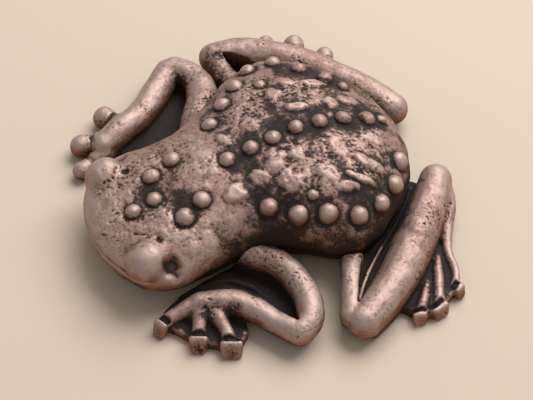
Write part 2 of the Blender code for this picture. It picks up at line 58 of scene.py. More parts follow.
# The sculpture is drawn about a point just behind the neck, so the pin's hinge comes at HINGE_DRAWN.
HINGE_DRAWN = (-10.0, 1.2, 2.0)
HINGE = next(joint["pos_m"] for joint in frame["joints"] if joint["name"] == "pin_hinge")
TO_FRAME = np.array(HINGE) / MM - np.array(HINGE_DRAWN)

# Body: y, half width, crest, widest height, closing height, sway.
STATIONS = [
    (-19.5, 0.0, 4.3, 4.3, 4.3, 0.0),
    (-19.1, 2.9, 5.3, 4.2, 2.9, 0.0),
    (-18.0, 5.9, 6.2, 4.1, 2.1, 0.0),
    (-16.0, 8.4, 6.9, 4.0, 1.4, 0.0),
    (-12.8, 9.3, 7.7, 3.9, 0.6, -0.1),
    (-9.2, 8.9, 8.5, 3.9, -0.5, -0.3),
    (-6.0, 8.7, 9.2, 3.9, -1.5, -0.8),
    (-3.0, 9.4, 9.7, 4.0, -2.0, -1.7),
    (1.0, 11.7, 10.3, 4.0, -2.0, -2.2),
    (5.5, 13.8, 10.6, 4.0, -2.0, -1.7),
    (9.5, 12.7, 10.1, 4.0, -2.0, -1.6),
    (13.0, 9.8, 8.8, 4.0, -1.5, -1.5),
    (15.6, 6.3, 7.0, 4.1, 0.0, -1.1),
    (16.8, 3.2, 5.6, 4.2, 1.5, -0.9),
    (17.2, 0.0, 4.4, 4.4, 4.4, -0.9),
]
SQUARENESS = 2.25  # of the body's section: 2 is an ellipse
WALL = 1.2  # thickness of the hollow body
RIM_Z = 1.6  # height of the hollow body's open rim
LEAST_REACH = 0.1  # keeps a shrunk section from turning inside out near the ends
SEAM = 0.12  # the sunken seam between a limb and the body
EYE = (6.3, -15.3, 5.4)
EYE_R = 2.35
EYE_HOLLOW = (8.1, -13.1, 5.7)
EYE_HOLLOW_SIZE = (1.4, 1.2, 1.9)
EYE_PIT = (5.1, -13.4, 7.1)
MOUTH_Z = 4.35
# Scratches, cut above SCRATCH_LEAST_Z: (start, end, depth)
SCRATCH_LEAST_Z = 5.0
SCRATCHES = [
    ((3.2, -15.5), (4.0, -14.3), 0.12),
    ((-5.8, -14.1), (-4.7, -15.0), 0.14),
]

# Rows of warts: (path of (x, y), count, radius). A wart's middle lies SUNK radii below the skin.
WART_ROWS = [
    ([(-0.4, -3.4), (-1.0, 4.7), (-0.6, 12.8)], 7, 1.0),
    ([(6.0, -1.4), (8.1, 1.5), (10.4, 6.6), (9.9, 9.4), (7.3, 12.6), (4.7, 14.3)], 7, 1.1),
    ([(-6.0, -3.2), (-12.5, 4.0), (-12.4, 6.8), (-7.5, 10.9)], 7, 0.95),
]
LONE_WARTS = [
    (-3.5, -8.6, 1.0), (-2.6, -11.3, 1.05), (0.3, -12.1, 1.0), (0.6, -14.6, 0.95), (3.9, -10.0, 1.15),
    (2.9, -7.7, 1.05), (7.1, 3.3, 0.6), (-0.8, 14.7, 0.65), (-6.0, 12.5, 0.7), (-8.8, 3.8, 0.7),
]
SUNK = 0.3
WART_SEGMENTS = 28
PAD_RISE = 0.85  # the share of a pad's height that stands out
PAD_LEAST_Z = 5.5  # pads lie only on the upper skin
# Worn pads: (x, y, half length, half width, turn in degrees, height)
PADS = [
    (3.8, -4.2, 1.3, 1.0, 60, 0.42), (3.3, -1.2, 1.4, 0.9, 30, 0.30), (5.0, 1.5, 1.6, 1.3, 10, 0.36),
    (2.1, 1.0, 1.4, 1.1, -20, 0.28), (2.2, 3.5, 1.2, 0.9, 15, 0.22), (5.8, 5.7, 1.5, 1.2, 25, 0.28),
    (2.7, 7.9, 1.6, 1.1, -10, 0.26), (7.6, 7.1, 1.2, 0.75, 70, 0.42), (7.0, 8.8, 1.6, 0.55, 60, 0.38),
    (5.5, 10.6, 1.9, 0.75, 50, 0.36), (2.5, 12.4, 1.3, 0.9, 40, 0.28), (-6.5, 4.3, 1.2, 0.9, 10, 0.36),
    (-3.8, 5.9, 1.3, 0.7, 70, 0.40), (-6.8, 9.5, 1.8, 0.7, 75, 0.32), (-3.4, 9.8, 1.1, 0.8, 40, 0.26),
    (-3.5, 11.8, 1.2, 0.8, 60, 0.28), (-3.0, -2.8, 1.0, 0.7, 20, 0.24), (-7.9, 6.5, 1.5, 0.8, 60, 0.26),
    (-3.4, 0.4, 1.3, 1.0, 0, 0.18),
]
# Rough skin that the polish reached: (x, y, reach)
WORN_PATCHES = [
    (-5.4, 0.8, 2.8), (-8.4, 2.6, 2.4), (-1.0, -6.4, 2.8), (3.0, 2.2, 3.2), (5.4, 4.6, 2.8), (2.6, 8.0, 2.4),
    (2.6, 12.0, 2.6), (6.2, 9.4, 2.4), (-6.0, 7.6, 3.0), (0.5, -17.0, 3.6), (3.6, -12.6, 3.2),
    (-3.8, -14.6, 3.4), (-5.0, -7.0, 3.0), (6.6, -9.6, 2.6), (-4.6, -11.0, 2.4),
]
# Skin that stayed dark: (x, y, reach)
DARK_PATCHES = [
    (0.8, -2.2, 1.8), (-1.9, -0.6, 1.6), (-2.4, 2.6, 1.8), (0.4, 5.6, 1.8), (-1.6, 7.6, 2.2),
    (0.0, 10.6, 2.0), (-1.4, 13.4, 2.4), (9.4, 8.0, 2.6), (8.4, 11.0, 2.4), (5.2, -1.8, 1.6),
    (6.6, 1.0, 1.6), (8.6, 3.6, 1.8),
    (-10.6, 7.6, 2.2), (-7.4, 12.0, 2.4), (-4.6, 3.0, 1.4), (4.6, 12.8, 1.6), (-1.0, -12.6, 1.8),
    (2.2, -9.8, 1.8), (-9.6, 9.6, 2.2), (12.0, 4.6, 1.6), (10.6, 1.0, 1.4), (7.0, -6.6, 1.7),
]

# Limbs. bars, digits and ridges are paths of (x, y, z, radius). webs and notch are outlines of (x, y).
# ridge_wear is added to the wear on the ridges. foot is the foot's radius as a share of its bar's.
# rims holds the left and right corner of each broad tip, rim_z the tips' height, and flare how far they
# slope out. groove is (distance behind the tip, half length, share of the tip's width, depth).
# dull holds the (x, y, reach) of dull patches.
LEFT_ARM = {
    "bars": [
        [(6.0, -5.4, 2.7, 1.6), (7.9, -3.7, 2.9, 1.55), (9.8, -1.9, 2.9, 1.5), (12.9, -0.9, 2.8, 1.5),
         (15.9, -0.9, 2.7, 1.5), (17.8, -1.7, 2.5, 1.5), (18.5, -2.8, 2.3, 1.5)],
        [(18.6, -3.1, 2.2, 1.5), (16.4, -4.9, 2.2, 1.25), (13.8, -6.6, 2.3, 1.35), (11.9, -9.0, 2.3, 1.4),
         (11.1, -11.3, 2.2, 1.25)],
    ],
    "digits": [
        [(11.0, -12.0, 2.0, 1.1), (11.1, -14.0, 1.7, 0.85), (11.4, -15.7, 1.4, 0.75)],
        [(11.4, -11.4, 2.0, 1.1), (13.2, -12.2, 1.7, 0.8), (14.7, -12.9, 1.4, 0.75)],
        [(12.4, -10.2, 2.0, 1.1), (14.6, -10.0, 1.7, 0.75), (16.4, -10.0, 1.4, 0.7)],
    ],
    "webs": [
        [(7.0, -6.0), (9.4, -2.6), (16.6, -1.4), (18.4, -3.0), (13.0, -7.4), (11.0, -11.4), (11.2, -15.0),
         (9.9, -15.2), (8.4, -12.4), (7.6, -9.0)],
        [(10.8, -11.0), (11.2, -15.6), (12.6, -14.6), (14.8, -13.2), (15.8, -11.6), (16.6, -10.6),
         (16.9, -9.0), (15.6, -7.6), (12.8, -7.4), (11.4, -9.4)],
    ],
    "ridges": [
        [(16.8, -3.3, 1.15, 0.3), (14.4, -4.0, 1.2, 0.34), (11.8, -5.6, 1.25, 0.36), (9.8, -8.2, 1.25, 0.38),
         (9.0, -11.2, 1.15, 0.34)],
        [(12.6, -4.1, 1.1, 0.3), (10.2, -5.6, 1.25, 0.4), (8.7, -7.6, 1.2, 0.36), (8.3, -10.4, 1.1, 0.3)],
    ],
    "notch": [(18.1, -2.95), (16.6, -2.55), (14.4, -2.5), (13.4, -4.4), (15.0, -4.35), (16.7, -3.7)],
    "ridge_wear": -0.5,
    "foot": 0.6,
    "rims": [((10.8, -16.3), (12.4, -15.4)), ((14.4, -14.0), (15.3, -12.0)), ((16.3, -11.3), (17.3, -8.8))],
    "rim_z": 2.1,
    "flare": 0.8,
    "groove": (0.5, 0.4, 0.37, 0.5),
    "dull": [(13.7, -8.7, 1.1)],
}
RIGHT_ARM = {
    "bars": [
        [(-7.6, -5.0, 2.8, 2.2), (-12.0, -2.2, 2.8, 2.2), (-15.6, -0.4, 2.8, 1.9), (-19.0, -0.4, 2.6, 1.6),
         (-20.9, -1.8, 2.4, 1.65)],
        [(-20.9, -2.6, 2.3, 1.65), (-18.6, -4.9, 2.4, 1.65), (-16.1, -7.8, 2.4, 1.6),
         (-14.6, -10.8, 2.4, 1.65), (-13.6, -13.0, 2.1, 1.5)],
    ],
    "digits": [
        [(-15.6, -9.8, 2.0, 1.3), (-17.0, -10.8, 1.6, 1.05), (-18.1, -11.4, 1.3, 1.35)],
        [(-14.2, -12.6, 2.0, 1.3), (-14.8, -14.0, 1.6, 1.05), (-15.1, -15.2, 1.3, 1.35)],
        [(-12.8, -13.2, 1.8, 1.1), (-12.3, -15.0, 1.4, 0.85), (-11.9, -16.3, 1.1, 1.1)],
    ],
    "webs": [
        [(-8.4, -6.4), (-10.4, -2.6), (-16.0, -0.8), (-19.8, -1.8), (-15.6, -7.4), (-13.6, -11.6),
         (-10.4, -11.4)],
        [(-16.4, -9.6), (-17.2, -11.0), (-15.2, -14.2), (-12.4, -15.2), (-12.6, -11.6)],
    ],
    "ridges": [],
    "ridge_wear": 0.0,
    "foot": 0.8,
    "rims": [],
    "groove": (1.2, 0.3, 0.7, 0.2),
    "dull": [(-18.4, -2.0, 0.9)],
}
LEFT_LEG = {
    "bars": [
        [(9.4, 6.6, 2.5, 1.4), (12.6, 5.4, 2.7, 1.25), (15.7, 4.0, 2.8, 1.1), (18.8, 2.7, 2.4, 1.35)],
        [(19.9, 3.7, 2.2, 1.9), (18.0, 6.9, 2.3, 2.05), (14.9, 10.5, 2.25, 2.3), (11.4, 13.9, 2.25, 2.3),
         (7.9, 16.9, 2.2, 2.15), (5.3, 18.8, 2.2, 1.85)],
        [(6.2, 18.9, 2.0, 1.4), (8.6, 18.6, 1.8, 1.05), (11.0, 17.4, 1.5, 0.8)],
    ],
    "digits": [
        [(11.0, 17.4, 1.5, 0.8), (14.2, 16.1, 1.35, 0.5), (17.0, 15.7, 1.3, 0.42), (18.8, 14.8, 1.25, 0.42)],
        [(13.6, 15.1, 1.2, 0.45), (17.4, 13.5, 1.35, 0.5), (20.1, 12.3, 1.3, 0.5)],
        [(16.4, 12.6, 1.1, 0.4), (18.7, 11.2, 1.4, 0.45), (20.2, 10.1, 1.35, 0.45)],
    ],
    "webs": [
        [(7.9, 6.0), (18.8, 3.2), (14.2, 10.8), (5.2, 18.0), (3.4, 16.6)],
        [(9.6, 18.0), (14.4, 11.6), (19.2, 8.6), (20.8, 9.6), (20.9, 11.4), (20.2, 13.0), (19.1, 14.6),
         (17.0, 15.8), (14.0, 16.2)],
    ],
    "ridges": [
        [(17.3, 4.1, 1.3, 0.2), (14.6, 6.1, 1.4, 0.24), (12.6, 8.0, 1.45, 0.24), (10.4, 10.5, 1.45, 0.24),
         (8.2, 13.0, 1.4, 0.22), (4.6, 16.2, 1.3, 0.2)],
    ],
    "notch": [(18.6, 3.4), (15.4, 5.0), (13.0, 6.4), (14.4, 7.4), (16.3, 6.0), (17.5, 4.7)],
    "ridge_wear": 0.7,
    "foot": 0.9,
    "rims": [((18.7, 15.7), (19.6, 14.4)), ((20.4, 13.2), (21.0, 11.0)), ((20.9, 10.6), (20.5, 8.8))],
    "rim_z": 1.75,
    "flare": 0.45,
    "groove": (0.5, 0.35, 0.37, 0.4),
    "dull": [],
}
RIGHT_LEG = {
    "bars": [
        [(-10.7, 6.0, 2.1, 1.5), (-14.2, 4.7, 2.1, 1.3), (-17.6, 3.4, 2.2, 1.3), (-20.4, 3.0, 2.3, 1.5)],
        [(-21.1, 3.2, 2.2, 1.8), (-20.6, 5.6, 2.4, 1.9), (-19.0, 8.4, 2.5, 2.0), (-16.2, 11.6, 2.6, 2.0),
         (-12.6, 14.5, 2.6, 2.0), (-8.8, 17.2, 2.5, 1.95), (-6.0, 18.8, 2.3, 1.8)],
    ],
    "digits": [
        [(-19.6, 9.6, 1.5, 1.0), (-21.0, 9.9, 1.3, 0.9), (-22.0, 10.0, 1.1, 1.0)],
        [(-17.6, 12.0, 1.6, 1.2), (-19.2, 12.6, 1.5, 1.1), (-20.3, 12.8, 1.2, 1.3)],
        [(-15.0, 14.4, 1.5, 1.0), (-16.6, 15.2, 1.3, 0.9), (-17.6, 15.5, 1.1, 1.05)],
    ],
    "webs": [
        [(-9.7, 6.0), (-20.4, 3.4), (-15.6, 10.8), (-6.9, 18.4), (-4.9, 17.0)],
        [(-18.0, 10.0), (-20.4, 10.2), (-19.6, 12.6), (-16.8, 15.0), (-13.0, 15.0)],
    ],
    "ridges": [
        [(-18.4, 4.8, 1.3, 0.2), (-14.8, 7.4, 1.4, 0.24), (-12.2, 10.6, 1.4, 0.24), (-8.8, 14.6, 1.3, 0.2)],
    ],
    "notch": [(-20.3, 3.7), (-17.6, 4.6), (-14.6, 6.2), (-16.4, 8.0), (-18.6, 6.3), (-19.8, 4.8)],
    "ridge_wear": 0.5,
    "foot": 0.9,
    "rims": [],
    "groove": (1.1, 0.3, 0.7, 0.15),
    "dull": [(-13.0, 4.6, 2.8), (-16.5, 3.4, 2.6), (-19.6, 2.4, 1.6)],
}
SHANK_WART = ((12.5, 13.0, 4.25), 0.55)
END_SEGMENTS = 24  # of the balls that round off the bars
BALL_RINGS = 14
WEB_TOP = 1.2
WEB_BOTTOM = -0.4  # below the ground, which cuts it
NOTCH_TOP = 8.0  # above the whole limb
PLATE_LENGTH = 0.7  # of the upright plate that makes a broad tip
PLATE_ROUNDING = 0.38
PLATE_TAPER = 0.78  # its width at the ground, as a share of its width at the top
FOOT_Z = 1.1  # a limb's bar is repeated at this height, thinner, as the foot that it stands on
ROUGH_VOXEL = 0.22 * MM
FINE_VOXEL = 0.12 * MM
BODY_VOXEL = 0.13 * MM
FAR = 60 * MM  # well outside the toad, for the tools that cut it
RELIEF_CELL = 0.2
RELIEF_REACH = 30
# How far round a point its surroundings count for how deep it lies: near by, and wide
RELIEF_BLURS = (0.7, 1.8)

# What pushes the skin out, in millimetres. Negative numbers cut in.
PUSH = {
    "swell": 0.14, "blotches": 0.03, "rough": 0.06, "rough_pits": -0.06, "dark_patch": -0.08,
    "wart_ring": -0.15, "wart": 0.06, "mouth": -0.30, "eye_hollow": -0.6, "eye_pit": -0.25, "flank": -0.45,
    "limb_swell": 0.08, "limb_blotches": 0.035, "limb_pits": -0.06,
}
# What adds to wear_and_shade, from 0, black, to 1, polished: polish, oxide and painted shade. Negative
# numbers darken.
WEAR_AND_SHADE = {
    "everywhere": 0.42, "fine_bulge": 4.0, "broad_bulge": 2.0, "near_depth": -0.28, "wide_depth": -0.14,
    "broad_blotches": 0.16, "small_blotches": 0.16, "stipple": 0.10, "rough_stipple": 0.30, "pits": -0.35,
    "underside": -0.3, "underside_blotches": -0.4,
    "body": -0.04, "worn_patch": 0.20, "dark_patch": -0.18, "snout": 0.16, "pad_height": 0.5, "neck": 0.22,
    # flank darkens the low flanks behind the head with oxide and painted shade.
    "flank": -0.48, "flank_blotches": 0.45,
    # low_side_oxide_and_shade darkens the limbs' low sides with oxide and painted shade.
    "limb": 0.16, "web": -0.4, "dull_patch": -0.3, "low_side_oxide_and_shade": -0.18,
}


# ---------------------------------------------------------------- small tools


def add(name, mesh):
    obj = bpy.data.objects.new(name, mesh)
    bpy.context.scene.collection.objects.link(obj)
    return obj


def object_from(bm, name):
    """A new object that holds the bmesh, which is freed."""
    mesh = bpy.data.meshes.new(name)
    bm.to_mesh(mesh)
    bm.free()
    return add(name, mesh)


def evaluated(obj):
    """The object's mesh with its modifiers applied."""
    bpy.context.view_layer.update()
    graph = bpy.context.evaluated_depsgraph_get()
    return bpy.data.meshes.new_from_object(obj.evaluated_get(graph))


def baked(obj):
    """The object, with its modifiers applied to it."""
    mesh = evaluated(obj)
    obj.modifiers.clear()
    obj.data = mesh
    return obj


def placed(point):
    """A drawn point, in millimetres, as a place in the frame, in metres."""
    return Vector(np.array(point) + TO_FRAME[: len(point)]) * MM


def smooth_step(low, high, values):
    """0 up to low and 1 from high on; with low above high it runs the other way."""
    share = np.clip((values - low) / (high - low), 0, 1)
    return share * share * (3 - 2 * share)


def fractal(points, size, octaves=3, offset=0.0):
    """Noise of about -1 to 1 at each point, with features of the given size, all in millimetres."""
    return np.array([noise.fractal(p, 1.0, 2.0, octaves) for p in (points / size + offset).tolist()])


def distance_to_path(points, path):
    """Distance in plan from each point to a polyline."""
    nearest = np.full(len(points), np.inf)
    for start, end in zip(path, path[1:]):
        start, end = np.array(start[:2]), np.array(end[:2])
        along = end - start
        offset = points[:, :2] - start
        share = np.clip(offset @ along / (along @ along), 0, 1)
        nearest = np.minimum(nearest, np.linalg.norm(offset - share[:, None] * along, axis=1))
    return nearest


def remesh(obj, voxel, smoothing):
    """Make one closed skin of everything that overlaps, and smooth it a number of times."""
    modifier = obj.modifiers.new("one_skin", "REMESH")
    modifier.mode = "VOXEL"
    modifier.voxel_size = voxel
    soften = obj.modifiers.new("soften", "SMOOTH")
    soften.factor = 0.5
    soften.iterations = smoothing


def cut(obj, other):
    modifier = obj.modifiers.new("cut", "BOOLEAN")
    modifier.operation = "DIFFERENCE"
    modifier.solver = "MANIFOLD"
    modifier.object = other


def box_object(name, low, high):
    bm = bmesh.new()
    bmesh.ops.create_cube(bm, size=1)
    low, high = Vector(low), Vector(high)
    bmesh.ops.scale(bm, vec=high - low, verts=bm.verts)
    bmesh.ops.translate(bm, vec=(low + high) / 2, verts=bm.verts)
    return object_from(bm, name)


def ball(bm, centre, radius, segments):
    place = Matrix.Translation(placed(centre))
    size = radius * MM
    bmesh.ops.create_uvsphere(bm, u_segments=segments, v_segments=BALL_RINGS, radius=size, matrix=place)


# ---------------------------------------------------------------- body form


def station_at(y):
    """The stations' other five numbers at y, on a smooth curve through them."""
    i = max(k for k in range(len(STATIONS) - 1) if STATIONS[k][0] <= max(y, STATIONS[0][0]))
    start, end = STATIONS[i], STATIONS[i + 1]
    before, after = STATIONS[max(i - 1, 0)], STATIONS[min(i + 2, len(STATIONS) - 1)]
    t = min(max((y - start[0]) / (end[0] - start[0]), 0.0), 1.0)
    return [
        0.5 * (2 * start[k] + (end[k] - before[k]) * t
               + (2 * before[k] - 5 * start[k] + 4 * end[k] - after[k]) * t * t
               + (3 * start[k] - before[k] - 3 * end[k] + after[k]) * t * t * t)
        for k in range(1, 6)
    ]


def section(y, angles, grow):
    """x and z round the body's section at y, grown outwards."""
    half_width, crest, widest, closing, sway = station_at(y)
    cosine, sine = np.cos(angles), np.sin(angles)
    across = np.copysign(np.abs(cosine) ** (2 / SQUARENESS), cosine)
    up = np.copysign(np.abs(sine) ** (2 / SQUARENESS), sine)
    above = max(crest - widest + grow, LEAST_REACH)
    below = max(widest - closing + grow, LEAST_REACH)
    rise = np.where(sine > 0, above, below)
    return sway + max(half_width + grow, LEAST_REACH) * across, widest + rise * up


def body_form(name, grow, sides, rings):
    """The body's plain form, grown outwards by grow, as rings of points between two poles."""
    front, back = STATIONS[0][0] - grow, STATIONS[-1][0] + grow
    angles = np.linspace(0, 2 * math.pi, sides, endpoint=False)
    bm = bmesh.new()
    loops = []
    for i in range(1, rings):
        y = front + (back - front) * (1 - math.cos(math.pi * i / rings)) / 2
        xs, zs = section(y + grow * (1 - 2 * i / rings), angles, grow)
        loops.append([bm.verts.new(placed((x, y, z))) for x, z in zip(xs, zs)])
    for first, second in zip(loops, loops[1:]):
        for k in range(sides):
            bm.faces.new((first[k], first[(k + 1) % sides], second[(k + 1) % sides], second[k]))
    for loop, y, station in ((loops[0], front, STATIONS[0]), (loops[-1], back, STATIONS[-1])):
        pole = bm.verts.new(placed((station[5], y, station[2])))
        for k in range(sides):
            bm.faces.new((loop[k], loop[(k + 1) % sides], pole))
    bmesh.ops.recalc_face_normals(bm, faces=bm.faces)
    return object_from(bm, name)


def skin_z(x, y):
    """The height of the body's plain form at a place in plan."""
    half_width, crest, widest, _, sway = station_at(y)
    share = min(abs(x - sway) / half_width, 0.98)
    return widest + (crest - widest) * (1 - share**SQUARENESS) ** (1 / SQUARENESS)


def spaced_along(path, count):
    """Points at equal steps along a path, both ends included."""
    lengths = [math.dist(a, b) for a, b in zip(path, path[1:])]
    places = []
    for i in range(count):
        left = sum(lengths) * i / (count - 1)
        k = 0
        while k < len(lengths) - 1 and left > lengths[k]:
            left -= lengths[k]
            k += 1
        share = left / lengths[k]
        places.append(tuple(a + (b - a) * share for a, b in zip(path[k], path[k + 1])))
    return places


def wart_list():
    """(centre, radius) of every wart, drawn in millimetres."""
    flat = [(x, y, radius) for path, count, radius in WART_ROWS for x, y in spaced_along(path, count)]
    return [((x, y, skin_z(x, y) - SUNK * radius), radius) for x, y, radius in flat + LONE_WARTS]


def add_balls(obj, balls):
    bm = bmesh.new()
    bm.from_mesh(obj.data)
    for centre, radius in balls:
        ball(bm, centre, radius, WART_SEGMENTS)
    bm.to_mesh(obj.data)
    bm.free()


# ---------------------------------------------------------------- sculpting on dense meshes


class Skin:
    """A dense mesh's points and normals, drawn in millimetres, to be pushed about and written back."""

    def __init__(self, obj):
        self.mesh = obj.data
        count = len(self.mesh.vertices)
        points = np.empty(count * 3)
        self.mesh.vertices.foreach_get("co", points)
        self.points = points.reshape(-1, 3) / MM - TO_FRAME
        edges = np.empty(len(self.mesh.edges) * 2, dtype=np.int64)
        self.mesh.edges.foreach_get("vertices", edges)
        self.edges = edges.reshape(-1, 2)
        self.degree = np.bincount(self.edges.ravel(), minlength=count).astype(float)
        self.read_normals()

    def read_normals(self):
        normals = np.empty(len(self.mesh.vertices) * 3)
        self.mesh.vertex_normals.foreach_get("vector", normals)
        self.normals = normals.reshape(-1, 3)

    def write(self):
        self.mesh.vertices.foreach_set("co", ((self.points + TO_FRAME) * MM).ravel())
        self.mesh.update()
        self.read_normals()

    def push(self, amount):
        self.points += self.normals * np.asarray(amount)[:, None]

    def relaxed(self, values, rounds):
        """values averaged over each point's neighbours, over and over."""
        values = np.array(values, float)
        flat = values.ndim == 1
        values = values.reshape(len(values), -1)
        a, b = self.edges.T
        for _ in range(rounds):
            total = np.empty_like(values)
            for k in range(values.shape[1]):
                total[:, k] = np.bincount(a, values[b, k], len(values))
                total[:, k] += np.bincount(b, values[a, k], len(values))
            values = 0.5 * values + 0.5 * total / self.degree[:, None]
        return values.ravel() if flat else values

    def bulge(self, rounds):
        """How far each point stands proud of its smoothed neighbourhood."""
        return ((self.points - self.relaxed(self.points, rounds)) * self.normals).sum(1)

    def attribute(self, name, values):
        layer = self.mesh.attributes.new(name, "FLOAT", "POINT")
        layer.data.foreach_set("value", np.asarray(values, np.float32))


# ---------------------------------------------------------------- body


def make_body_solid():
    """The body as one closed solid, with its eyes and warts, before it is sculpted."""
    body = body_form("toad_body", 0, sides=120, rings=120)
    eyes = [((side * EYE[0], EYE[1], EYE[2]), EYE_R) for side in (1, -1)]
    add_balls(body, eyes + wart_list())
    remesh(body, BODY_VOXEL, smoothing=2)
    return baked(body)


def hollow_out(body):
    """Cut the hollow and everything below the rim from the sculpted body."""
    hollow = body_form("hollow", -WALL, sides=60, rings=56)
    slab = box_object("below_rim", (-FAR, -FAR, -FAR), (FAR, FAR, RIM_Z * MM))
    cut(body, hollow)
    cut(body, slab)
    baked(body)
    for helper in (hollow, slab):
        bpy.data.objects.remove(helper)


def patchwork(points, patches):
    """1 in the middle of each patch and 0 outside them all, with an edge that wanders."""
    wander = fractal(points, 1.6, 3, 31.0)
    share = np.zeros(len(points))
    for x, y, reach in patches:
        distance = np.hypot(points[:, 0] - x, points[:, 1] - y) / reach + 0.35 * wander
        share = np.maximum(share, smooth_step(1.15, 0.45, distance))
    return share


def sculpt_body(body, warts):
    """Push the body's skin in and out: blotches, pits, sunken rings round the warts, pads and the mouth."""
    skin = Skin(body)
    blend_eyes(skin)
    points = skin.points
    outside = smooth_step(1.0, 1.8, points[:, 2]) * smooth_step(-0.75, -0.35, skin.normals[:, 2])
    nearest = np.full(len(points), np.inf)
    for centre, radius in warts:
        nearest = np.minimum(nearest, np.linalg.norm(points - np.array(centre), axis=1) - radius)
    on_skin = smooth_step(0.02, 0.4, nearest)
    rough = patchwork(points, WORN_PATCHES) * on_skin
    dark = patchwork(points, DARK_PATCHES) * on_skin
    blotches = fractal(points, 1.1, 4, 7.0)
    amount = PUSH["swell"] * fractal(points, 3.5, 2) + PUSH["blotches"] * blotches
    amount += on_skin * PUSH["rough"] * smooth_step(-0.4, 0.4, blotches) * rough
    amount += PUSH["rough_pits"] * rough * speck_field(points)
    amount += PUSH["dark_patch"] * dark
    amount += PUSH["wart_ring"] * np.exp(-np.clip(nearest, 0, 9) / 0.35) * (nearest > 0.02)
    amount += PUSH["wart"] * fractal(points, 1.3, 2, 51.0) * (nearest <= 0.02)
    amount += pad_relief(points)
    amount += engraving(points)
    amount += flank_lip(points)
    skin.push(amount * outside)
    skin.write()
    return skin


def speck_field(points):
    """1 in the small pits of the casting and 0 between them."""
    pits = smooth_step(0.18, 0.5, fractal(points, 0.32, 2, 41.0))
    return pits * smooth_step(-0.3, 0.2, fractal(points, 2.4, 2, 45.0))


def blend_eyes(skin):
    """Melt the eyes into the head."""
    mask = np.zeros(len(skin.points))
    for side in (1, -1):
        offset = skin.points - np.array((side * EYE[0], EYE[1], EYE[2]))
        distance = np.linalg.norm(offset, axis=1)
        mask = np.maximum(mask, smooth_step(1.6, 0.3, np.abs(distance - EYE_R - 0.1)))
    softened = skin.relaxed(skin.points, rounds=45)
    skin.points += (softened - skin.points) * mask[:, None]
    skin.write()


def pad_relief(points):
    """Height of the worn pads, whose outlines wander."""
    relief = np.zeros(len(points))
    wander = fractal(points, 1.1, 2, 5.0)
    for x, y, length, width, turn, height in PADS:
        angle = math.radians(turn)
        dx, dy = points[:, 0] - x, points[:, 1] - y
        along = (dx * math.cos(angle) + dy * math.sin(angle)) / length
        across = (dy * math.cos(angle) - dx * math.sin(angle)) / width
        reach = np.hypot(along, across) + 0.35 * wander
        relief = np.maximum(relief, PAD_RISE * height * smooth_step(1.2, 0.5, reach))
    return relief * (points[:, 2] > PAD_LEAST_Z)


def engraving(points):
    """The mouth line round the snout, the hollows behind the eyes and the nicks beside them, all cut in."""
    x, y, z = points.T
    wander = fractal(points, 1.5, 2, 61.0)
    lips = z - MOUTH_Z - 0.06 * np.abs(x) - 0.12 * wander
    amount = PUSH["mouth"] * np.exp(-((lips / 0.2) ** 2)) * smooth_step(-15.0, -16.4, y)
    for side in (1, -1):
        mirror = np.array((side, 1, 1))
        offset = (points - mirror * EYE_HOLLOW) / np.array(EYE_HOLLOW_SIZE)
        reach = np.linalg.norm(offset, axis=1) + 0.25 * wander
        amount += PUSH["eye_hollow"] * smooth_step(1.15, 0.35, reach)
        pit = np.linalg.norm(points - mirror * EYE_PIT, axis=1)
        amount += PUSH["eye_pit"] * smooth_step(0.55, 0.2, pit)
    for start, end, depth in SCRATCHES:
        distance = distance_to_path(points, (start, end))
        amount -= depth * np.exp(-((distance / 0.13) ** 2)) * (z > SCRATCH_LEAST_Z)
    return amount


def flank_lip(points):
    """The flanks are undercut below a lip, behind the head."""
    height = points[:, 2] + 0.25 * fractal(points, 2.2, 2, 71.0)
    return PUSH["flank"] * smooth_step(3.7, 3.1, height) * smooth_step(-12.5, -9.5, points[:, 1])


# ---------------------------------------------------------------- limbs


def bar(name, points):
    """A round bar along a smooth path of (x, y, z, radius)."""
    curve = bpy.data.curves.new(name, "CURVE")
    curve.dimensions = "3D"
    curve.bevel_depth = MM
    curve.bevel_resolution = 6
    curve.resolution_u = 12
    curve.use_fill_caps = True
    spline = curve.splines.new("BEZIER")
    spline.bezier_points.add(len(points) - 1)
    for knot, (x, y, z, radius) in zip(spline.bezier_points, points):
        knot.co = placed((x, y, z))
        knot.radius = radius
        knot.handle_left_type = knot.handle_right_type = "AUTO"
    return add(name, curve)


def web(name, outline):
    """A flat sheet of the given outline, from WEB_BOTTOM to WEB_TOP."""
    curve = bpy.data.curves.new(name, "CURVE")
    curve.dimensions = "2D"
    curve.fill_mode = "BOTH"
    curve.extrude = (WEB_TOP - WEB_BOTTOM) / 2 * MM
    spline = curve.splines.new("POLY")
    spline.points.add(len(outline) - 1)
    for point, (x, y) in zip(spline.points, outline):
        place = placed((x, y, 0))
        point.co = (place.x, place.y, 0, 1)
    spline.use_cyclic_u = True
    obj = add(name, curve)
    obj.location.z = (WEB_TOP + WEB_BOTTOM) / 2 * MM
    return obj


def tip_places(design):
    """(middle, forward, width) of the end of each finger or toe."""
    for i, path in enumerate(design["digits"]):
        tip, before = np.array(path[-1][:2]), np.array(path[-2][:2])
        forward, width = tip - before, 2 * path[-1][3]
        if design["rims"]:
            left, right = (np.array(corner) for corner in design["rims"][i])
            across = right - left
            square = np.array((-across[1], across[0]))
            tip, width = (left + right) / 2, np.linalg.norm(across)
            forward = square * np.sign(square @ forward)
        yield tip, forward / np.linalg.norm(forward), width


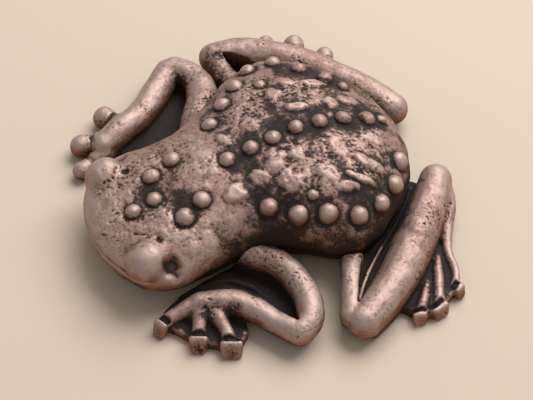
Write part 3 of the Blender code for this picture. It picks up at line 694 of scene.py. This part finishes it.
def tip_plate(bm, tip, forward, width, design):
    """The broad end of a finger or toe: an upright plate whose front slopes out to the ground."""
    height = design["rim_z"]
    turn = Matrix.Rotation(math.atan2(forward[1], forward[0]), 4, "Z")
    size = Matrix.Diagonal((PLATE_LENGTH * MM, width * MM, height * MM, 1))
    middle = placed((*tip, 0)) + Vector((0, 0, height / 2 * MM))
    made = bmesh.ops.create_cube(bm, size=1)
    for corner in made["verts"]:
        if corner.co.z < 0:
            corner.co.y *= PLATE_TAPER
            corner.co.x += (corner.co.x > 0) * design["flare"] / PLATE_LENGTH
    bmesh.ops.transform(bm, matrix=Matrix.Translation(middle) @ turn @ size, verts=made["verts"])
    edges = list({edge for corner in made["verts"] for edge in corner.link_edges})
    bmesh.ops.bevel(bm, geom=edges, offset=PLATE_ROUNDING * MM, segments=3, affect="EDGES", profile=0.5)


def make_limb(name, design, clearance, ground):
    """One limb as one closed skin, cut clear of the body and flat on the ground."""
    paths = design["bars"] + design["digits"]
    drawn = [bar(f"{name}_bar_{i}", points) for i, points in enumerate(paths)]
    for i, points in enumerate(design["bars"]):
        foot = [(x, y, FOOT_Z, design["foot"] * radius) for x, y, _, radius in points]
        drawn.append(bar(f"{name}_foot_{i}", foot))
    drawn += [web(f"{name}_web_{i}", outline) for i, outline in enumerate(design["webs"])]
    bm = bmesh.new()
    gather(bm, drawn)
    for points in paths:
        for x, y, z, radius in (points[0], points[-1]):
            ball(bm, (x, y, z), radius, END_SEGMENTS)
    if design["rims"]:
        for tip, forward, width in tip_places(design):
            tip_plate(bm, tip, forward, width, design)
    if design is LEFT_LEG:
        ball(bm, *SHANK_WART, END_SEGMENTS)
    bmesh.ops.recalc_face_normals(bm, faces=bm.faces)
    limb = object_from(bm, name)
    remesh(limb, ROUGH_VOXEL, smoothing=2)
    cut(limb, clearance)
    cut(limb, ground)
    if "notch" in design:
        notch = notch_cutter(design["notch"])
        cut(limb, notch)
        baked(limb)
        bpy.data.objects.remove(notch)
    add_ridges(limb, design["ridges"])
    remesh(limb, FINE_VOXEL, smoothing=3)
    return without_crumbs(baked(limb))


def without_crumbs(obj):
    """Delete every small loose lump that the cuts left behind, so that one closed skin stays."""
    bm = bmesh.new()
    bm.from_mesh(obj.data)
    unseen = set(bm.verts)
    lumps = []
    while unseen:
        lump = [unseen.pop()]
        for vertex in lump:
            near = {edge.other_vert(vertex) for edge in vertex.link_edges} & unseen
            unseen -= near
            lump.extend(near)
        lumps.append(lump)
    largest = max(lumps, key=len)
    crumbs = [vertex for lump in lumps if lump is not largest for vertex in lump]
    bmesh.ops.delete(bm, geom=crumbs, context="VERTS")
    bm.to_mesh(obj.data)
    bm.free()
    return obj


def gather(bm, drawn):
    """Put the evaluated meshes of the drawn curves in one mesh, close their caps and remove the curves."""
    for obj in drawn:
        mesh = evaluated(obj)
        mesh.transform(obj.matrix_world)
        bm.from_mesh(mesh)
        bpy.data.objects.remove(obj)
    bmesh.ops.remove_doubles(bm, verts=bm.verts, dist=0.001 * MM)


def add_ridges(limb, ridges):
    """Apply the limb's modifiers and lay thin ridges on its webs."""
    baked(limb)
    bm = bmesh.new()
    bm.from_mesh(limb.data)
    gather(bm, [bar(f"ridge_{i}", points) for i, points in enumerate(ridges)])
    bm.to_mesh(limb.data)
    bm.free()


def notch_cutter(outline):
    """A flat-floored cut between thigh and shank, down to the web."""
    bm = bmesh.new()
    low = [bm.verts.new(placed((x, y, WEB_TOP))) for x, y in outline]
    top = [bm.verts.new(placed((x, y, NOTCH_TOP))) for x, y in outline]
    bm.faces.new(low)
    bm.faces.new(top)
    for i, corner in enumerate(low):
        k = (i + 1) % len(low)
        bm.faces.new((corner, low[k], top[k], top[i]))
    bmesh.ops.recalc_face_normals(bm, faces=bm.faces)
    return object_from(bm, "notch")


def digit_grooves(points, design):
    """1 in the groove behind each fingertip and toe tip."""
    distance, half_length, reach, _ = design["groove"]
    grooves = np.zeros(len(points))
    wander = 0.2 * fractal(points, 0.8, 2, 91.0)
    for tip, forward, width in tip_places(design):
        offset = points[:, :2] - (tip - forward * distance)
        along = offset @ forward / half_length
        across = offset @ np.array((-forward[1], forward[0])) / (reach * width)
        grooves = np.maximum(grooves, smooth_step(1.25, 0.6, np.sqrt(along**4 + across**4) ** 0.5 + wander))
    return grooves


def ridge_share(points, design):
    """1 on the crest of each ridge of a limb's web."""
    share = np.zeros(len(points))
    for path in design["ridges"]:
        share = np.maximum(share, smooth_step(0.34, 0.1, distance_to_path(points, path)))
    return share * smooth_step(2.2, 1.8, points[:, 2])


def rough_share(points):
    """Where a limb's skin is rough, from 0 to 1."""
    return smooth_step(-0.15, 0.25, fractal(points, 3.0, 2, 17.0))


def sculpt_limb(limb, design):
    """Give the limb its unevenness, its pits and the grooves behind its tips."""
    skin = Skin(limb)
    points = skin.points
    upward = skin.normals[:, 2]
    amount = PUSH["limb_swell"] * fractal(points, 2.6, 2, 2.0)
    amount += PUSH["limb_blotches"] * fractal(points, 0.9, 3, 9.0)
    amount += PUSH["limb_pits"] * rough_share(points) * speck_field(points)
    skin.push(amount * smooth_step(-0.3, 0.2, upward))
    grooves = digit_grooves(points, design) * smooth_step(0.2, 0.7, upward)
    skin.points[:, 2] -= design["groove"][3] * grooves
    skin.write()
    return skin


DESIGNS = {
    "front_leg_left": LEFT_ARM, "front_leg_right": RIGHT_ARM,
    "rear_leg_left": LEFT_LEG, "rear_leg_right": RIGHT_LEG,
}


def make_limbs():
    clearance = body_form("body_clearance", SEAM, sides=96, rings=90)
    ground = box_object("ground", (-FAR, -FAR, -FAR), (FAR, FAR, 0))
    limbs = {}
    for node, design in DESIGNS.items():
        limbs[node] = make_limb(f"toad_{node}", design, clearance, ground)
    for helper in (clearance, ground):
        bpy.data.objects.remove(helper)
    return limbs


# ---------------------------------------------------------------- wear_and_shade: polish, oxide and painted shade


def relief_cells(points):
    """The cell of the relief map that each point lies over."""
    return tuple(((points[:, :2] + RELIEF_REACH) / RELIEF_CELL).astype(int).T)


def relief_map(skins):
    """The highest point over each cell of the plan, with the ground where there is nothing."""
    count = int(2 * RELIEF_REACH / RELIEF_CELL)
    heights = np.zeros((count, count))
    for skin in skins:
        np.maximum.at(heights, relief_cells(skin.points), skin.points[:, 2])
    return heights


def blurred(heights, sigma_cells):
    """The map blurred by a bell curve, which Fourier transforms make quick."""
    frequency = np.fft.fftfreq(heights.shape[0])
    kernel = np.exp(-2 * (math.pi * sigma_cells * frequency) ** 2)
    return np.real(np.fft.ifft2(np.fft.fft2(heights) * kernel[:, None] * kernel[None, :]))


def body_wear_and_shade(points, rough):
    """What the places on the body add to its wear_and_shade, with oxide and painted shade low on the flanks
    behind the head.
    """
    y, z = points[:, 1], points[:, 2]
    wear_and_shade = WEAR_AND_SHADE["body"] + WEAR_AND_SHADE["worn_patch"] * rough + WEAR_AND_SHADE["dark_patch"] * patchwork(points, DARK_PATCHES)
    wear_and_shade += WEAR_AND_SHADE["snout"] * smooth_step(-8, -14, y)
    wear_and_shade += WEAR_AND_SHADE["pad_height"] * pad_relief(points)
    wear_and_shade += WEAR_AND_SHADE["neck"] * smooth_step(4.5, 1.0, np.abs(y + 6))
    # Partly oxide, partly painted shade: the flanks behind the head darken towards the ground.
    flank = smooth_step(8.6, 3.6, z) * smooth_step(-11, -6, y)
    wear_and_shade += (WEAR_AND_SHADE["flank"] + WEAR_AND_SHADE["flank_blotches"] * fractal(points, 2.6, 3, 41.0)) * flank
    return wear_and_shade


def limb_wear_and_shade(points, upward, ridges, design):
    """What the places on a limb add to its wear_and_shade, with oxide and painted shade on its low sides."""
    z = points[:, 2]
    web_share = smooth_step(1.7, 1.35, z) * smooth_step(0.4, 0.8, upward)
    lit_ridges = ridges * (design["ridge_wear"] > 0)
    wear_and_shade = WEAR_AND_SHADE["limb"] + design["ridge_wear"] * ridges + WEAR_AND_SHADE["web"] * web_share * (1 - lit_ridges)
    wear_and_shade += WEAR_AND_SHADE["dull_patch"] * patchwork(points, design["dull"])
    wear_and_shade -= design["groove"][3] * digit_grooves(points, design)
    # Oxide and painted shade: the limbs' low sides near the ground are darkened.
    wear_and_shade += WEAR_AND_SHADE["low_side_oxide_and_shade"] * smooth_step(0.75, 0.4, upward) * smooth_step(2.4, 1.4, z)
    return wear_and_shade


def write_wear_and_shade(skin, heights, design):
    """Write each point's wear_and_shade and how deep it lies. The body has no design, so its design is None.
    """
    points = skin.points
    upward = skin.normals[:, 2]
    open_share = smooth_step(-0.4, 0.1, upward)
    if design is not None:
        open_share *= 1 - 0.55 * smooth_step(0.7, 0.2, upward)
    cells = relief_cells(points)
    near, wide = (
        (blurred(heights, sigma / RELIEF_CELL)[cells] - points[:, 2]) * open_share for sigma in RELIEF_BLURS
    )
    deep = smooth_step(0.4, 2.2, np.maximum(near, wide * 0.8))
    wear_and_shade = WEAR_AND_SHADE["everywhere"] + WEAR_AND_SHADE["fine_bulge"] * skin.bulge(rounds=4)
    wear_and_shade += WEAR_AND_SHADE["broad_bulge"] * skin.bulge(rounds=40)
    wear_and_shade += WEAR_AND_SHADE["near_depth"] * near + WEAR_AND_SHADE["wide_depth"] * wide
    wear_and_shade += WEAR_AND_SHADE["broad_blotches"] * fractal(points, 5.0, 3, 23.0)
    wear_and_shade += WEAR_AND_SHADE["small_blotches"] * fractal(points, 1.1, 4, 7.0)
    if design is None:
        rough = patchwork(points, WORN_PATCHES)
        wear_and_shade += body_wear_and_shade(points, rough)
    else:
        rough = rough_share(points)
        ridges = ridge_share(points, design) * smooth_step(-0.3, 0.2, upward)
        wear_and_shade += limb_wear_and_shade(points, upward, ridges, design)
        deep *= 1 - 0.6 * smooth_step(0.7, 0.2, np.abs(upward))
        deep *= 1 - np.clip(design["ridge_wear"], 0, 1) * ridges
    wear_and_shade += fractal(points, 0.3, 3, 83.0) * (WEAR_AND_SHADE["stipple"] + WEAR_AND_SHADE["rough_stipple"] * rough)
    wear_and_shade += WEAR_AND_SHADE["pits"] * speck_field(points) * (0.25 + 0.75 * rough)
    underside = WEAR_AND_SHADE["underside"] + WEAR_AND_SHADE["underside_blotches"] * fractal(points, 2.0, 4, 97.0)
    wear_and_shade += underside * smooth_step(0.1, -0.5, upward)
    skin.attribute("wear_and_shade", np.clip(wear_and_shade, 0, 1))
    skin.attribute("deep", deep)


# ---------------------------------------------------------------- materials


class Nodes:
    """A material's node tree, with short names for the nodes this script uses."""

    def __init__(self, name):
        self.material = bpy.data.materials.new(name)
        self.material.use_nodes = True
        self.tree = self.material.node_tree
        self.shader = self.tree.nodes["Principled BSDF"]
        self.where = self.tree.nodes.new("ShaderNodeTexCoord").outputs["Object"]

    def link(self, value, socket):
        if isinstance(value, bpy.types.NodeSocket):
            self.tree.links.new(value, socket)
        else:
            socket.default_value = value

    def math(self, operation, first, second, clamp=False):
        node = self.tree.nodes.new("ShaderNodeMath")
        node.operation = operation
        node.use_clamp = clamp
        for value, socket in zip((first, second), node.inputs):
            self.link(value, socket)
        return node.outputs[0]

    def swing(self, value, strength):
        """Noise that runs from 0 to 1, as a swing about 0."""
        return self.math("MULTIPLY", self.math("SUBTRACT", value, 0.5), strength)

    def range(self, value, low, high, to_low=0.0, to_high=1.0):
        node = self.tree.nodes.new("ShaderNodeMapRange")
        node.interpolation_type = "SMOOTHSTEP"
        self.link(value, node.inputs["Value"])
        limits = {"From Min": low, "From Max": high, "To Min": to_low, "To Max": to_high}
        for name, number in limits.items():
            self.link(number, node.inputs[name])
        return node.outputs["Result"]

    def attribute(self, name):
        node = self.tree.nodes.new("ShaderNodeAttribute")
        node.attribute_name = name
        return node.outputs["Fac"]

    def noise(self, per_mm, detail=3.0, roughness=0.55, stretch=None):
        node = self.tree.nodes.new("ShaderNodeTexNoise")
        where = self.where
        if stretch:
            mapping = self.tree.nodes.new("ShaderNodeMapping")
            mapping.inputs["Scale"].default_value = stretch
            self.link(where, mapping.inputs["Vector"])
            where = mapping.outputs["Vector"]
        self.link(where, node.inputs["Vector"])
        node.inputs["Scale"].default_value = per_mm / MM
        node.inputs["Detail"].default_value = detail
        node.inputs["Roughness"].default_value = roughness
        return node.outputs["Fac"]

    def cells(self, per_mm):
        node = self.tree.nodes.new("ShaderNodeTexVoronoi")
        self.link(self.where, node.inputs["Vector"])
        node.inputs["Scale"].default_value = per_mm / MM
        return node.outputs["Distance"]

    def mix(self, share, first, second):
        node = self.tree.nodes.new("ShaderNodeMix")
        node.data_type = "RGBA"
        colours = [s for s in node.inputs if s.type == "RGBA"]
        self.link(share, node.inputs[0])
        self.link(first if isinstance(first, bpy.types.NodeSocket) else (*first, 1), colours[0])
        self.link(second if isinstance(second, bpy.types.NodeSocket) else (*second, 1), colours[1])
        return next(s for s in node.outputs if s.type == "RGBA")

    def bump(self, height, distance):
        node = self.tree.nodes.new("ShaderNodeBump")
        node.inputs["Strength"].default_value = BUMP_STRENGTH
        node.inputs["Distance"].default_value = distance
        self.link(height, node.inputs["Height"])
        return node.outputs["Normal"]

    def facing_up(self):
        geometry = self.tree.nodes.new("ShaderNodeNewGeometry")
        split = self.tree.nodes.new("ShaderNodeSeparateXYZ")
        self.link(geometry.outputs["Normal"], split.inputs[0])
        return split.outputs["Z"]

    def finish(self, colour, roughness, metallic, normal):
        self.link(colour, self.shader.inputs["Base Color"])
        self.link(roughness, self.shader.inputs["Roughness"])
        self.link(metallic, self.shader.inputs["Metallic"])
        self.link(normal, self.shader.inputs["Normal"])
        return self.material


# The metal's colours, from the deepest recess to the highest point, and the painted shade and painted warm
# reflection on its faces that look sideways
OXIDE = (0.023, 0.015, 0.013)
DULL = (0.105, 0.068, 0.058)
SILVER = (0.40, 0.258, 0.215)
POLISHED = (0.53, 0.395, 0.35)
# The next two colours are painted shade and a painted warm reflection, not colours of the metal.
SIDE_SHADE = (0.05, 0.025, 0.015)
SIDE_REFLECTION = (0.27, 0.105, 0.040)
BUMP_STRENGTH = 0.5
CAST_BUMP = 0.03 * MM
BRUSHED_BUMP = 0.02 * MM


def patina_wear_and_shade(n, grain, specks):
    """The wear_and_shade attribute, broken up by fine grain, mottling and specks, and darkened where it lies
    deep.
    """
    wear_and_shade = n.math("ADD", n.attribute("wear_and_shade"), n.swing(grain, 0.9))
    wear_and_shade = n.math("ADD", wear_and_shade, n.swing(n.noise(0.55, 3.0), 0.5), clamp=True)
    wear_and_shade = n.math("SUBTRACT", wear_and_shade, n.math("MULTIPLY", specks, 0.55), clamp=True)
    wear_and_shade = n.math("SUBTRACT", wear_and_shade, n.math("MULTIPLY", n.attribute("deep"), 0.70), clamp=True)
    least = n.range(n.noise(1.6, 5.0, 0.7), 0.45, 0.75, 0.0, 0.26)
    return n.math("MAXIMUM", wear_and_shade, least)


def side_light_share(n):
    """Painted shade and a painted warm reflection sit on the faces that look sideways, and thinly on the
    underside.
    """
    upward = n.facing_up()
    sideways = n.math("MULTIPLY", n.range(upward, 0.75, 0.0), n.range(upward, -0.8, -0.3, 0.25, 1.0))
    return n.math("MULTIPLY", sideways, n.range(n.noise(0.5, 3.0), 0.3, 0.65, 0.45, 0.95))


def patina():
    n = Nodes("oxidised_cast_metal")
    grain = n.noise(3.2, 4.0, 0.65)
    specks = n.math("MULTIPLY", n.range(n.cells(3.6), 0.26, 0.12), n.range(n.noise(0.9, 2.0), 0.45, 0.6))
    wear_and_shade = patina_wear_and_shade(n, grain, specks)
    colour = n.mix(n.range(wear_and_shade, 0.05, 0.38), OXIDE, DULL)
    colour = n.mix(n.range(wear_and_shade, 0.30, 0.60), colour, SILVER)
    colour = n.mix(n.range(wear_and_shade, 0.62, 1.0), colour, POLISHED)
    # Painted light on the sideways faces: painted shade where they are dull, a painted warm reflection where
    # brighter.
    side_light = n.mix(n.range(wear_and_shade, 0.1, 0.5), SIDE_SHADE, SIDE_REFLECTION)
    colour = n.mix(side_light_share(n), colour, side_light)
    roughness = n.range(wear_and_shade, 0.1, 0.9, 0.76, 0.57)
    metallic = n.range(wear_and_shade, 0.05, 0.4, 0.35, 0.72)
    height = n.math("ADD", n.math("MULTIPLY", grain, 0.7), n.math("MULTIPLY", specks, -0.6))
    return n.finish(colour, roughness, metallic, n.bump(height, CAST_BUMP))


# The metals of the brooch's back: (colour, stained colour, roughness, stretch of the brush marks)
BACK_METALS = {
    "rolled_back_plate": ((0.42, 0.36, 0.33), (0.10, 0.08, 0.07), 0.42, (0.08, 1, 1)),
    "bright_finding": ((0.62, 0.58, 0.55), (0.22, 0.19, 0.17), 0.28, (1, 0.2, 1)),
    "pin_wire": ((0.70, 0.68, 0.66), (0.32, 0.30, 0.29), 0.18, (0.05, 1, 1)),
}
BACK_PIECES = {
    "back_plate": "rolled_back_plate", "hinge_bracket": "bright_finding", "hinge_rivet": "bright_finding",
    "catch_housing": "bright_finding", "catch_sleeve": "bright_finding", "pin_stem": "pin_wire",
}


def brushed(name, colour, dark, roughness, stretch):
    """Metal with straight brush marks, along the axis that stretch makes coarse, and faint stains."""
    n = Nodes(name)
    lines = n.noise(2.0, 4.0, 0.6, stretch)
    stain = n.range(n.noise(0.25, 3.0), 0.4, 0.75)
    shade = n.mix(n.math("MULTIPLY", stain, 0.7), colour, dark)
    shade = n.mix(n.range(lines, 0.4, 0.7, 0.0, 0.35), shade, dark)
    rough = n.math("ADD", roughness, n.math("MULTIPLY", lines, 0.15))
    return n.finish(shade, rough, 1.0, n.bump(lines, BRUSHED_BUMP))


# ---------------------------------------------------------------- putting it together


CAD_EDGE = 0.06 * MM
CAD_EDGE_ANGLE = math.radians(40)
FLOOR_HALF = 0.6  # metres
FLOOR_COLOUR = (0.74, 0.62, 0.50, 1)
LAMP_PLACE = (-0.12, 0.20, 0.32)  # metres
LAMP_SIZE = (0.38, 0.30)  # metres
LAMP_WATTS = 1.65
LAMP_COLOUR = (1.0, 0.98, 0.96)
SKY_COLOUR = (1.0, 0.97, 0.95, 1)
SKY_STRENGTH = 0.35


def ride_on(piece, node, material):
    """Let a sculpted piece take its CAD node's place, on the toad."""
    piece.data.materials.clear()
    piece.data.materials.append(material)
    piece.data.shade_smooth()
    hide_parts(node)
    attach(piece, "toad")


def finish_cad(node, material):
    """Give a CAD node its metal and finely worn edges."""
    obj = frame["nodes"][node]
    obj.data.materials.clear()
    obj.data.materials.append(material)
    bevel = obj.modifiers.new("worn_edges", "BEVEL")
    bevel.width = CAD_EDGE
    bevel.segments = 2
    bevel.limit_method = "ANGLE"
    bevel.angle_limit = CAD_EDGE_ANGLE


def make_floor():
    bm = bmesh.new()
    bmesh.ops.create_grid(bm, x_segments=1, y_segments=1, size=FLOOR_HALF)
    floor = object_from(bm, "floor")
    material = bpy.data.materials.new("pale_floor")
    material.use_nodes = True
    shader = material.node_tree.nodes["Principled BSDF"]
    shader.inputs["Base Color"].default_value = FLOOR_COLOUR
    shader.inputs["Roughness"].default_value = 0.85
    floor.data.materials.append(material)


def make_light():
    scene = bpy.context.scene
    world = bpy.data.worlds.new("studio")
    world.use_nodes = True
    world.node_tree.nodes["Background"].inputs["Color"].default_value = SKY_COLOUR
    world.node_tree.nodes["Background"].inputs["Strength"].default_value = SKY_STRENGTH
    scene.world = world
    scene.view_settings.view_transform = "Standard"
    lamp = bpy.data.lights.new("overhead", "AREA")
    lamp.shape = "RECTANGLE"
    lamp.size, lamp.size_y = LAMP_SIZE
    lamp.energy = LAMP_WATTS
    lamp.color = LAMP_COLOUR
    obj = add("overhead", lamp)
    obj.location = LAMP_PLACE
    obj.rotation_mode = "QUATERNION"
    obj.rotation_quaternion = (-Vector(LAMP_PLACE)).to_track_quat("-Z", "Y")


# The camera's angle is the photograph's. It aims at CAMERA_AIM, drawn on the ground.
AZIMUTH, ELEVATION = math.radians(67.3), math.radians(50.4)
CAMERA_AIM = (-0.93, 1.28)
CAMERA_DISTANCE = 0.2431  # metres
LENS = 148.7
SENSOR_WIDTH = 36


def make_camera():
    level = math.cos(ELEVATION)
    towards = Vector((math.sin(AZIMUTH) * level, -math.cos(AZIMUTH) * level, math.sin(ELEVATION)))
    camera = bpy.data.cameras.new("camera")
    camera.lens = LENS
    camera.sensor_width = SENSOR_WIDTH
    camera.clip_start = 0.01
    obj = add("camera", camera)
    obj.location = placed(CAMERA_AIM).to_3d() + towards * CAMERA_DISTANCE
    obj.rotation_mode = "QUATERNION"
    obj.rotation_quaternion = (-towards).to_track_quat("-Z", "Y")
    bpy.context.scene.camera = obj


def main():
    body = make_body_solid()
    sculpt_body(body, wart_list())
    hollow_out(body)
    limbs = make_limbs()
    skins = {"body_shell": Skin(body)}
    for node, limb in limbs.items():
        skins[node] = sculpt_limb(limb, DESIGNS[node])
    heights = relief_map(skins.values())
    for node, skin in skins.items():
        write_wear_and_shade(skin, heights, DESIGNS.get(node))
    cast_metal = patina()
    for node, piece in {"body_shell": body, **limbs}.items():
        ride_on(piece, node, cast_metal)
    metals = {name: brushed(name, *look) for name, look in BACK_METALS.items()}
    for node, name in BACK_PIECES.items():
        finish_cad(node, metals[name])
    make_floor()
    make_light()
    make_camera()


main()
